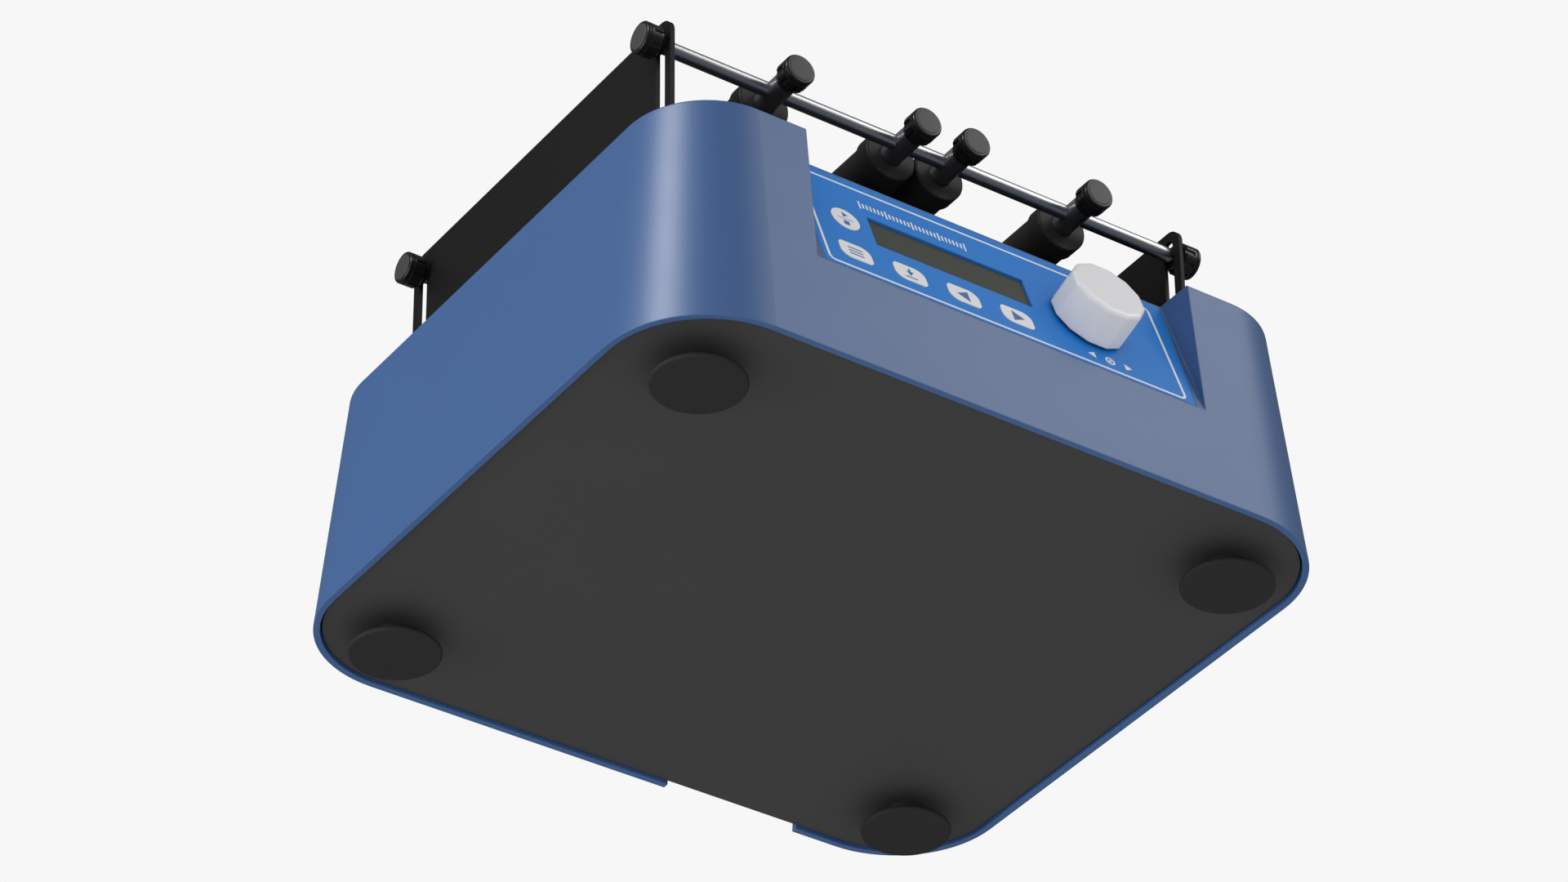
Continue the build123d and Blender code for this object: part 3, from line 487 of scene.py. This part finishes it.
print("display cells", round(cell_pitch * 1000, 2), "mm apart, mat ribs", rib_pitch * 1000, "mm apart")

# %% [markdown]
# ## The finishes, one for each slot of the record
# The blue is a satin paint with a fine orange peel. Base and feet are matt. The panel is a printed
# film with a soft gloss. Knobs are glossy black plastic, the rollers a dull rubber, and the rods are
# plated and softly polished, so they mostly show what stands around them.

# %% Materials
paint_blue = screen_colour(50, 88, 140)
# The edge colours are painted highlights: lighter than each finish, they stand in for the light that a
# rounded edge catches.
paint_edge_highlight = screen_colour(98, 122, 166)
film_blue = screen_colour(34, 122, 206)
print_white = screen_colour(224, 225, 227)
print_edge_highlight = screen_colour(240, 240, 241)
base_edge_highlight = screen_colour(84, 84, 84)
plastic_edge_highlight = screen_colour(60, 60, 62)
steel_grey = screen_colour(190, 190, 192)
chrome_grey = screen_colour(178, 179, 183)
milled_grey = screen_colour(196, 198, 202)
satin = {"roughness": 0.45, "mottle": 0.03, "smudge": 0.06, "grain": 2600}
along_x = drawn_lines(0)
along_y = drawn_lines(1)

looks = {
    "housing_paint": finish(
        "housing_paint",
        paint_blue,
        roughness=0.44,
        mottle=0.04,
        smudge=0.04,
        grain=1500,
        depth=0.006,
        edge=paint_edge_highlight,
        edge_radius=0.7 * MM,
    ),
    "base_grey": finish(
        "base_grey",
        screen_colour(60, 60, 60),
        roughness=0.62,
        grain=900,
        depth=0.03,
        edge=base_edge_highlight,
        specular=0.3,
    ),
    "foot_rubber": finish(
        "foot_rubber",
        screen_colour(39, 39, 39),
        roughness=0.72,
        mottle=0.12,
        smudge=0.12,
        grain=700,
        depth=0.04,
        specular=0.3,
    ),
    "panel_film": finish(
        "panel_film",
        film_blue,
        roughness=0.40,
        mottle=0.04,
        smudge=0.06,
        grain=2600,
        depth=0.004,
        specular=0.15,
    ),
    "key_film": finish(
        "key_film",
        print_white,
        **satin,
        depth=0.004,
        edge=print_edge_highlight,
        edge_radius=0.3 * MM,
    ),
    "display_glass": finish(
        "display_glass",
        screen_colour(58, 62, 50),
        roughness=0.35,
        mottle=0.06,
        smudge=0.05,
        grain=2000,
        depth=0.002,
        specular=0.2,
        coat=0.6,
        coat_roughness=0.04,
        pattern=character_cells,
    ),
    "board_green": finish(
        "board_green",
        screen_colour(24, 92, 52),
        roughness=0.4,
        mottle=0.2,
        smudge=0.1,
        grain=500,
        depth=0.02,
    ),
    "steel": finish(
        "steel",
        steel_grey,
        roughness=0.32,
        mottle=0.1,
        smudge=0.15,
        grain=900,
        depth=0.01,
        metallic=1.0,
        pattern=along_x,
    ),
    "chrome": finish(
        "chrome",
        chrome_grey,
        roughness=0.34,
        mottle=0.04,
        smudge=0.06,
        grain=900,
        depth=0.002,
        metallic=1.0,
        pattern=along_x,
    ),
    "dial_white": finish(
        "dial_white",
        screen_colour(226, 226, 229),
        roughness=0.34,
        mottle=0.02,
        smudge=0.06,
        grain=1800,
        depth=0.004,
        edge=print_edge_highlight,
        edge_radius=0.8 * MM,
    ),
    "black_plastic": finish(
        "black_plastic",
        screen_colour(20, 20, 21),
        roughness=0.3,
        mottle=0.1,
        smudge=0.12,
        grain=1600,
        depth=0.008,
        edge=plastic_edge_highlight,
        edge_radius=0.3 * MM,
        specular=0.35,
    ),
    "black_sheet": finish(
        "black_sheet",
        screen_colour(23, 23, 24),
        roughness=0.5,
        mottle=0.10,
        smudge=0.10,
        grain=1200,
        depth=0.015,
        # A lighter edge colour, a painted highlight along the sheet's edges.
        edge=screen_colour(66, 66, 70),
        edge_radius=0.35 * MM,
        specular=0.12,
    ),
    "roller_rubber": finish(
        "roller_rubber",
        screen_colour(34, 34, 34),
        roughness=0.55,
        mottle=0.14,
        smudge=0.12,
        grain=800,
        depth=0.03,
        # A lighter edge colour, a painted highlight along the rubber's edges.
        edge=screen_colour(50, 50, 50),
        edge_radius=0.4 * MM,
        specular=0.25,
    ),
    "aluminium": finish(
        "aluminium",
        milled_grey,
        roughness=0.35,
        mottle=0.06,
        smudge=0.1,
        grain=1000,
        depth=0.01,
        metallic=1.0,
        pattern=along_y,
    ),
    "belt_rubber": finish(
        "belt_rubber",
        screen_colour(27, 27, 27),
        roughness=0.7,
        mottle=0.1,
        smudge=0.1,
        grain=900,
        depth=0.03,
    ),
}
mat_look = finish(
    "mat_rubber",
    screen_colour(32, 32, 33),
    roughness=0.7,
    mottle=0.12,
    smudge=0.12,
    grain=900,
    depth=0.03,
    pattern=mat_ribs,
)
print("finishes:", len(looks) + 1)

# %% [markdown]
# ## Dress the model's own pieces
# The record says which slot each node takes its finish from, so one loop dresses them all. The
# grip mat shares the rubber slot with the feet, but gets the ribbed version of it.

# %% Dress the nodes
for part in frame["record"]["subparts"]:
    node = nodes[part["node"]]
    node.data.materials.clear()
    node.data.materials.append(looks[part["material_slot"]])
nodes["grip_mat"].data.materials.clear()
nodes["grip_mat"].data.materials.append(mat_look)

# %% [markdown]
# ## A plane to print on
# The panel slopes, so everything printed on it is drawn flat first and then laid on the slope. The
# panel's own largest face gives the slope: its normal, and the lowest point on it. A print is a real
# thin layer here, five hundredths of a millimetre, so that it shows in the mesh as well.

# %% The panel's plane
print_lift = 0.01 * MM
print_thickness = 0.05 * MM
same_plane = 0.05 * MM
same_way = 0.8
towards_user = Vector((0, -1, 0.35)).normalized()
sideways = Vector((1, 0, 0))


def face_plane(node, facing):
    """The normal and one point of a node's largest face that looks about in a direction."""
    mesh = nodes[node].data
    best = max((f for f in mesh.polygons if f.normal.dot(facing) > same_way), key=lambda f: f.area)
    return best.normal.copy(), mesh.vertices[best.vertices[0]].co.copy()


slope_normal, slope_point = face_plane("control_panel", towards_user)
slope_up = slope_normal.cross(sideways)
slope_turn = turned(sideways, slope_up, slope_normal)
panel_points = [v.co for v in nodes["control_panel"].data.vertices]
front_points = [c for c in panel_points if abs((c - slope_point).dot(slope_normal)) < same_plane]
lowest = min(front_points, key=lambda c: c.z)
panel_matrix = Matrix.Translation((0, lowest.y, lowest.z)) @ slope_turn
print("panel leans", round(degrees(atan2(slope_normal.z, -slope_normal.y)), 2), "degrees")

# %% [markdown]
# ## Flat shapes for prints
# A print is made from closed outlines: an outer loop and any holes. The loops are filled with
# faces by bmesh's triangle fill, which understands holes, and then given their thickness. Loops are
# drawn in millimetres on the panel, x across and y up the slope, because that is how a drawing of a
# membrane panel is dimensioned. Its heights are counted from the foot of the slope, and the film
# starts a margin above that foot.

# %% Outline tools
panel_margin = 1.0


def rounded_rectangle(x, y, width, height, radius, steps=6):
    """A closed loop round a centre, with arcs at its corners."""
    loop = []
    corners = [(1, 1, 0), (-1, 1, pi / 2), (-1, -1, pi), (1, -1, 1.5 * pi)]
    for side_x, side_y, start in corners:
        centre_x = x + side_x * (width / 2 - radius)
        centre_y = y + side_y * (height / 2 - radius)
        for step in range(steps + 1):
            turn = start + step / steps * pi / 2
            loop.append((centre_x + radius * cos(turn), centre_y + radius * sin(turn)))
    return loop


def circle(x, y, radius, steps=40):
    """A round loop."""
    turns = [2 * pi * step / steps for step in range(steps)]
    return [(x + radius * cos(turn), y + radius * sin(turn)) for turn in turns]


def triangle(x, y, size, turn):
    """A pointer, with its tip turned from +x by an angle in degrees."""
    points = []
    for corner in (0, 120, 240):
        angle = radians(turn + corner)
        points.append((x + size * cos(angle), y + size * sin(angle)))
    return points


def printed(name, shapes, place, body, material, thickness=print_thickness, lift=print_lift):
    """A thin piece made of several shapes, each a list of loops with the outer one first."""
    mesh = bpy.data.meshes.new(name)
    built = bmesh.new()
    for loops in shapes:
        edges = []
        for loop in loops:
            corners = [built.verts.new((x * MM, y * MM, 0)) for x, y in loop]
            edges += [built.edges.new((corners[i - 1], corners[i])) for i in range(len(corners))]
        bmesh.ops.triangle_fill(built, use_beauty=True, edges=edges, normal=(0, 0, 1))
    raised = bmesh.ops.extrude_face_region(built, geom=list(built.faces))
    top = [v for v in raised["geom"] if isinstance(v, bmesh.types.BMVert)]
    bmesh.ops.translate(built, verts=top, vec=(0, 0, thickness))
    bmesh.ops.recalc_face_normals(built, faces=built.faces)
    built.to_mesh(mesh)
    built.free()
    mesh.transform(place @ Matrix.Translation((0, 0, lift)))
    mesh.materials.append(material)
    piece = bpy.data.objects.new(name, mesh)
    scene.collection.objects.link(piece)
    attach(piece, body)
    print(name, "has", len(mesh.polygons), "faces")


# %% [markdown]
# ## The border and the marks on the panel
# A white line with rounded corners frames the panel. Inside it are plain marks: a scale above the
# display, and under the dial the usual pair of arrows with a ringed point between them, for turn
# and push.

# %% Border line
line_width = 1.3
border_left, border_right = -96.0, 94.0
border_bottom, border_top = 2.5, 72.5
border_radius = 3.6
border_x = (border_left + border_right) / 2
border_y = (border_bottom + border_top) / 2 - panel_margin
border_w = border_right - border_left
border_h = border_top - border_bottom
inner_w = border_w - 2 * line_width
inner_h = border_h - 2 * line_width
border_shape = [
    rounded_rectangle(border_x, border_y, border_w, border_h, border_radius),
    rounded_rectangle(border_x, border_y, inner_w, inner_h, border_radius - line_width),
]
ink_white = finish("ink_white", print_white, **satin, depth=0.003)
ink_blue = finish("ink_blue", screen_colour(44, 96, 170), **satin, depth=0.003)
printed("panel_border", [border_shape], panel_matrix, "base", ink_white)

# %% Marks under the dial
hint_x, hint_y = 54.0, 10.2 - panel_margin
hint_reach = 9.4
hint_size = 2.6
hint_ring, hint_hole, hint_dot = 2.6, 1.7, 0.9
hint_shapes = [
    [triangle(hint_x - hint_reach, hint_y, hint_size, 180)],
    [triangle(hint_x + hint_reach, hint_y, hint_size, 0)],
    [circle(hint_x, hint_y, hint_ring), circle(hint_x, hint_y, hint_hole)],
    [circle(hint_x, hint_y, hint_dot)],
]
printed("dial_hint", hint_shapes, panel_matrix, "base", ink_white)

# %% [markdown]
# ## A scale made with Geometry Nodes
# The scale above the display is the same short tick again and again, with each seventh one longer.
# A Geometry Nodes tree suits that: a line of points, a tick on each, and an index test that makes
# the seventh ones longer. Its sizes are named inputs, set by socket identifier before the object is
# first evaluated. The result is turned into a plain mesh, because a part shouldn't depend on a live
# modifier.

# %% Tick scale
long_every = 7.0
long_gain = 0.6
ticks_tree = bpy.data.node_groups.new("tick_scale", "GeometryNodeTree")
for label, kind in (
    ("Count", "NodeSocketInt"),
    ("Pitch", "NodeSocketFloat"),
    ("Width", "NodeSocketFloat"),
    ("Height", "NodeSocketFloat"),
    ("Thickness", "NodeSocketFloat"),
    ("Material", "NodeSocketMaterial"),
):
    ticks_tree.interface.new_socket(label, in_out="INPUT", socket_type=kind)
ticks_tree.interface.new_socket("Geometry", in_out="OUTPUT", socket_type="NodeSocketGeometry")
taken = ticks_tree.nodes.new("NodeGroupInput")
given = ticks_tree.nodes.new("NodeGroupOutput")
step = ticks_tree.nodes.new("ShaderNodeCombineXYZ")
ticks_tree.links.new(taken.outputs["Pitch"], step.inputs["X"])
row = ticks_tree.nodes.new("GeometryNodeMeshLine")
row.mode = "OFFSET"
ticks_tree.links.new(taken.outputs["Count"], row.inputs["Count"])
ticks_tree.links.new(step.outputs[0], row.inputs["Offset"])
size = ticks_tree.nodes.new("ShaderNodeCombineXYZ")
ticks_tree.links.new(taken.outputs["Width"], size.inputs["X"])
ticks_tree.links.new(taken.outputs["Height"], size.inputs["Y"])
ticks_tree.links.new(taken.outputs["Thickness"], size.inputs["Z"])
tick = ticks_tree.nodes.new("GeometryNodeMeshCube")
ticks_tree.links.new(size.outputs[0], tick.inputs["Size"])
index = ticks_tree.nodes.new("GeometryNodeInputIndex")
remainder = math_node(ticks_tree, "MODULO", index.outputs[0], long_every)
is_long = math_node(ticks_tree, "LESS_THAN", remainder, 0.5)
stretch = math_node(ticks_tree, "MULTIPLY", is_long, long_gain)
stretch = math_node(ticks_tree, "ADD", stretch, 1.0)
tall = ticks_tree.nodes.new("ShaderNodeCombineXYZ")
tall.inputs["X"].default_value = 1.0
tall.inputs["Z"].default_value = 1.0
ticks_tree.links.new(stretch, tall.inputs["Y"])
copies = ticks_tree.nodes.new("GeometryNodeInstanceOnPoints")
ticks_tree.links.new(row.outputs["Mesh"], copies.inputs["Points"])
ticks_tree.links.new(tick.outputs["Mesh"], copies.inputs["Instance"])
ticks_tree.links.new(tall.outputs[0], copies.inputs["Scale"])
real = ticks_tree.nodes.new("GeometryNodeRealizeInstances")
ticks_tree.links.new(copies.outputs["Instances"], real.inputs["Geometry"])
dress = ticks_tree.nodes.new("GeometryNodeSetMaterial")
ticks_tree.links.new(real.outputs["Geometry"], dress.inputs["Geometry"])
ticks_tree.links.new(taken.outputs["Material"], dress.inputs["Material"])
ticks_tree.links.new(dress.outputs["Geometry"], given.inputs["Geometry"])


def grown(name, group, values):
    """The plain mesh that a Geometry Nodes tree makes with the given input values."""
    holder = bpy.data.objects.new(name, bpy.data.meshes.new(name))
    scene.collection.objects.link(holder)
    modifier = holder.modifiers.new("grow", "NODES")
    modifier.node_group = group
    sockets = {s.name: s.identifier for s in group.interface.items_tree if s.in_out == "INPUT"}
    for label, value in values.items():
        modifier[sockets[label]] = value
    graph = bpy.context.evaluated_depsgraph_get()
    mesh = bpy.data.meshes.new_from_object(holder.evaluated_get(graph))
    holder.modifiers.remove(modifier)
    holder.data = mesh
    mesh.name = name
    return holder


scale_left, scale_up = -66.0, 60.0
scale_sizes = {
    "Count": 29,
    "Pitch": 2 * MM,
    "Width": 0.9 * MM,
    "Height": 3.6 * MM,
    "Thickness": print_thickness,
    "Material": ink_white,
}
scale_mark = grown("speed_scale", ticks_tree, scale_sizes)
scale_place = (scale_left * MM, (scale_up - panel_margin) * MM, print_lift + print_thickness / 2)
scale_mark.data.transform(panel_matrix @ Matrix.Translation(scale_place))
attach(scale_mark, "base")
print("scale:", len(scale_mark.data.polygons), "faces")

# %% [markdown]
# ## Symbols on the keys
# Plain symbols are read in every country. The round key starts and stops, so it has the triangle
# and the square, parted by a line. Two keys of the row have a list and a store sign, and the other
# two point left and right. Each symbol rides on its key, so it moves when the key is pressed.

# %% Key symbols
top_depth = 0.02 * MM


def key_matrix(node):
    """The plane on top of a key, centred on it."""
    low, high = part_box(node)
    centre = (low + high) / 2
    points = [v.co for v in nodes[node].data.vertices]
    top = max(c.dot(slope_normal) for c in points)
    ups = [c.dot(slope_up) for c in points if c.dot(slope_normal) > top - top_depth]
    on_top = centre + slope_normal * (top - centre.dot(slope_normal))
    on_top += slope_up * ((min(ups) + max(ups)) / 2 - on_top.dot(slope_up))
    return Matrix.Translation(on_top) @ slope_turn


key_symbols = {
    "key_run": [
        [triangle(0, 3.1, 2.0, 0)],
        [rounded_rectangle(0, 0, 8.4, 0.35, 0.12)],
        [rounded_rectangle(0, -3.0, 3.0, 3.0, 0.3)],
    ],
    "key_menu": [[rounded_rectangle(0, up, 7.6, 0.8, 0.3)] for up in (-2.2, 0, 2.2)],
    "key_store": [
        [triangle(0, 0.6, 2.2, -90)],
        [rounded_rectangle(0, 2.6, 1.0, 2.4, 0.2)],
        [rounded_rectangle(0, -2.9, 6.4, 0.8, 0.3)],
    ],
    "key_left": [[triangle(0.4, 0, 4.2, 180)]],
    "key_right": [[triangle(-0.4, 0, 4.2, 0)]],
}
for key, shapes in key_symbols.items():
    printed(f"{key}_symbol", shapes, key_matrix(key), key, ink_blue)

# %% [markdown]
# ## Caps on the knobs
# Each clamp knob ends in a slightly crowned, matt insert that hides its screw. It is a turned shape,
# so a profile of a few points is spun round the knob's axis. Twelve knobs ride on twelve bodies, so
# the function is called once for each.

# %% Knob inserts
insert_radius = 6.3 * MM
insert_edge = 0.1 * MM
insert_rise = 0.35 * MM
insert_crown = 0.12 * MM
insert_round = 0.16
insert_sink = 0.5 * MM
insert_sides = 48
round_steps = 6
cap_grey = finish(
    "cap_grey",
    screen_colour(54, 54, 55),
    roughness=0.55,
    mottle=0.06,
    grain=1800,
    depth=0.006,
)


def spun(name, profile, place, sides, material):
    """A closed turned mesh from (radius, height) points that start and end on the axis."""
    mesh = bpy.data.meshes.new(name)
    built = bmesh.new()
    rings = []
    for radius, height in profile:
        turns = [2 * pi * i / sides for i in range(sides)] if radius else [0]
        rings.append([built.verts.new((radius * cos(a), radius * sin(a), height)) for a in turns])
    for low, high in zip(rings, rings[1:]):
        for i in range(sides):
            j = (i + 1) % sides
            corners = [low[i % len(low)], low[j % len(low)], high[j % len(high)], high[i % len(high)]]
            built.faces.new(list(dict.fromkeys(corners)))
    bmesh.ops.recalc_face_normals(built, faces=built.faces)
    built.to_mesh(mesh)
    built.free()
    mesh.transform(place)
    mesh.polygons.foreach_set("use_smooth", [True] * len(mesh.polygons))
    mesh.materials.append(material)
    piece = bpy.data.objects.new(name, mesh)
    scene.collection.objects.link(piece)
    return piece


def end_matrix(node, outwards):
    """The plane at the outer end of a knob, facing outwards."""
    low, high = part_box(node)
    centre = (low + high) / 2
    reach = max(v.co.dot(outwards) for v in nodes[node].data.vertices)
    on_end = centre + outwards * (reach - centre.dot(outwards))
    return Matrix.Translation(on_end) @ outwards.to_track_quat("Z", "Y").to_matrix().to_4x4()


insert_profile = [(0, -insert_sink), (insert_radius, -insert_sink), (insert_radius, insert_edge)]
for step in range(1, round_steps + 1):
    angle = step / round_steps * pi / 2
    rise = insert_edge + (insert_rise - insert_edge) * sin(angle)
    insert_profile.append((insert_radius * (1 - insert_round * (1 - cos(angle))), rise))
insert_profile.append((0, insert_rise + insert_crown))

knob_faces = {}
for row, way in (("front", -1), ("rear", 1)):
    for number in range(1, 5):
        knob_faces[f"clamp_knob_{row}_{number}"] = Vector((0, way, 0))
    for hand, side in (("left", -1), ("right", 1)):
        knob_faces[f"end_knob_{row}_{hand}"] = Vector((side, 0, 0))
for knob, outwards in knob_faces.items():
    insert = spun(f"{knob}_insert", insert_profile, end_matrix(knob, outwards), insert_sides, cap_grey)
    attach(insert, knob)
print("inserts:", len(knob_faces))

# %% [markdown]
# ## The mains side
# On the back, the inlet's three contacts are plated metal in a black moulding. In the model they are
# one piece with it, so a thin plated jacket is drawn over each. The rocker has the usual bar for on
# and ring for off. Its face is dished, so each sign is laid where the nearest point of the face and
# its normal say.

# %% Contacts and rocker signs
contact_width, contact_height, contact_round = 2.2, 4.2, 0.4
contact_side, contact_rise = 7.0, 2.0
contact_length = 14.1 * MM
cavity_depth = 17 * MM
inlet_low, inlet_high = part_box("mains_inlet")
inlet_middle = (inlet_low + inlet_high) / 2
contact_foot = (inlet_middle.x, inlet_high.y - cavity_depth, inlet_middle.z)
contact_root = Matrix.Translation(contact_foot) @ turned((-1, 0, 0), (0, 0, 1), (0, 1, 0))
contact_shapes = [
    [rounded_rectangle(x, up, contact_width, contact_height, contact_round)]
    for x, up in ((-contact_side, -contact_rise), (0, contact_rise), (contact_side, -contact_rise))
]
printed("inlet_contacts", contact_shapes, contact_root, "base", looks["steel"], contact_length, 0)

sign_reach = 3.7 * MM
sign_start = 1.0 * MM
sign_thickness = 0.12 * MM
sign_sink = -0.05 * MM
rocker_low, rocker_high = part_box("power_rocker")
rocker_middle = (rocker_low + rocker_high) / 2
rocker_signs = {
    "rocker_on": (1, [rounded_rectangle(0, 0, 0.6, 3.0, 0.2)]),
    "rocker_off": (-1, [circle(0, 0, 1.5), circle(0, 0, 1.0)]),
}
for sign, (side, loops) in rocker_signs.items():
    above = Vector((rocker_middle.x, rocker_high.y + sign_start, rocker_middle.z + side * sign_reach))
    _, spot, normal, _ = nodes["power_rocker"].closest_point_on_mesh(above)
    sign_up = normal.cross(-sideways).normalized()
    sign_place = Matrix.Translation(spot) @ turned(-sideways, sign_up, normal)
    printed(sign, [loops], sign_place, "rocker", ink_white, sign_thickness, sign_sink)
